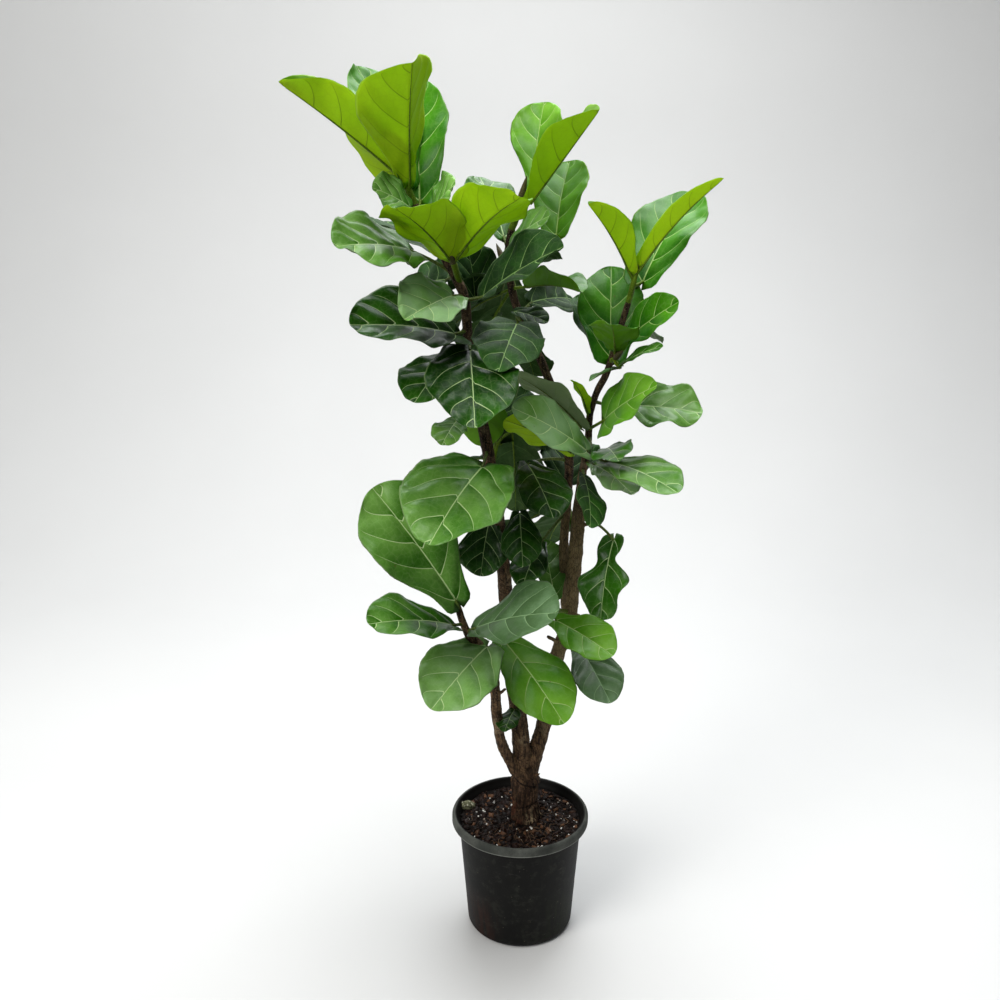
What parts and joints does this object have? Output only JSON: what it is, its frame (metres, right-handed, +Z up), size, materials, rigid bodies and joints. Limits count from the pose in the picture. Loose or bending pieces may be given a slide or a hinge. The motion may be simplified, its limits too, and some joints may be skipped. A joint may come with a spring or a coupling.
{
  "type": "potted fiddle leaf fig",
  "caption": "Tall potted fiddle leaf fig: branched woody stems with large waved leathery leaves, standing in bark mix in a round black nursery pot.",
  "frame": {"origin": "middle of the pot's flat foot, on the surface it stands on", "axes": "+Z up along the pot's axis; +X to the right and -Y towards the viewer as the plant is seen from the front"},
  "size_m": [0.6945, 0.543, 1.6426],
  "materials": {
    "pot": "black polypropylene, dull, weathered to grey on the rolled rim",
    "soil": "coarse damp bark mix with perlite",
    "bark": "rough grey-brown bark",
    "leaf": "leathery, waxy upper face with pale veins, duller paler underside",
    "young_leaf": "young leaves, yellow-green, smooth and half shiny"
  },
  "bodies": {
    "root": {"crown_back": "young_leaf", "crown_left": "young_leaf", "crown_right": "young_leaf", "crown_spur": "young_leaf", "leaf_back_01": "leaf", "leaf_back_02": "leaf", "leaf_back_03": "leaf", "leaf_back_04": "leaf", "leaf_back_05": "leaf", "leaf_back_06": "leaf", "leaf_back_07": "leaf", "leaf_back_08": "leaf", "leaf_back_09": "leaf", "leaf_back_10": "leaf", "leaf_left_01": "leaf", "leaf_left_02": "leaf", "leaf_left_03": "leaf", "leaf_left_04": "leaf", "leaf_middle_01": "leaf", "leaf_middle_02": "leaf", "leaf_middle_03": "leaf", "leaf_middle_04": "leaf", "leaf_middle_05": "leaf", "leaf_middle_06": "leaf", "leaf_middle_07": "leaf", "leaf_middle_08": "leaf", "leaf_middle_09": "leaf", "leaf_middle_10": "leaf", "leaf_middle_11": "leaf", "leaf_middle_12": "leaf", "leaf_middle_13": "leaf", "leaf_middle_14": "leaf", "leaf_middle_15": "leaf", "leaf_middle_16": "leaf", "leaf_middle_17": "leaf", "leaf_middle_18": "leaf", "leaf_right_01": "leaf", "leaf_right_02": "leaf", "leaf_right_03": "leaf", "leaf_right_04": "leaf", "leaf_right_05": "leaf", "leaf_right_06": "leaf", "leaf_right_07": "leaf", "leaf_right_08": "leaf", "leaf_right_09": "leaf", "leaf_right_10": "leaf", "leaf_right_11": "leaf", "leaf_right_12": "leaf", "leaf_right_13": "leaf", "leaf_right_14": "leaf", "leaf_right_15": "leaf", "pot": "pot", "rear_low": "leaf", "rear_middle": "leaf", "rear_top": "leaf", "soil": "soil", "trunk": "bark", "twig_low": "leaf", "twig_right": "leaf"}
  },
  "joints": []
}
